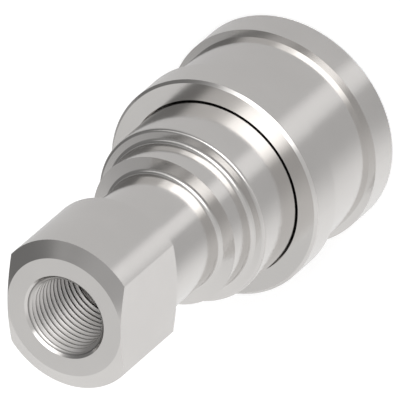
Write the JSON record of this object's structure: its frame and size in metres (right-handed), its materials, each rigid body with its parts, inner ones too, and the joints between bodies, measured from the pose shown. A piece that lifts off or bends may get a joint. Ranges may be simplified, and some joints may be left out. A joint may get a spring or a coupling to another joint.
{
  "type": "quick coupling",
  "caption": "Stainless hydraulic quick coupling, socket half, with a ball-lock sleeve, a poppet valve and a threaded pipe port.",
  "frame": {"origin": "centre of the nose's end face, on the axis; the coupling stands on it", "axes": "+Z along the axis from the nose to the threaded port, +X square to the two wrench flats"},
  "size_m": [0.046, 0.046, 0.087],
  "materials": {
    "steel": "fine-turned and polished stainless steel",
    "ball": "polished hardened steel balls",
    "spring_wire": "drawn spring wire",
    "seal": "black nitrile rubber",
    "backup": "white fluoropolymer",
    "bush": "bearing bronze"
  },
  "bodies": {
    "coupler": {"port_adapter": "steel", "coupler_body": "steel", "locking_balls": "ball", "sleeve_retaining_ring": "spring_wire", "sleeve_wiper": "seal", "probe_seal": "seal", "probe_backup_ring": "backup", "valve_guide": "steel", "guide_bush": "bush", "guide_retaining_ring": "spring_wire", "adapter_seal": "seal", "adapter_backup_ring": "backup", "sleeve_spring": "spring_wire", "poppet_spring": "spring_wire"},
    "sleeve_washer": {"sleeve_thrust_washer": "steel"},
    "sleeve": {"locking_sleeve": "steel"},
    "poppet": {"poppet": "steel", "poppet_seal": "seal", "poppet_nose": "steel"}
  },
  "joints": [
    {"name": "sleeve_slide", "type": "slide", "parent": "coupler", "child": "sleeve_washer", "axis": [0, 0, 1], "range_m": [0, 0.005], "stiffness_N_per_m": 5000, "springref_m": -0.005, "deforming": ["sleeve_spring"]},
    {"name": "sleeve_spin", "type": "hinge", "parent": "sleeve_washer", "child": "sleeve", "pos_m": [0, 0, 0.0152], "axis": [0, 0, 1], "continuous": true},
    {"name": "poppet_slide", "type": "slide", "parent": "coupler", "child": "poppet", "axis": [0, 0, 1], "range_m": [0, 0.005], "stiffness_N_per_m": 2500, "springref_m": -0.005, "deforming": ["poppet_spring"]}
  ]
}
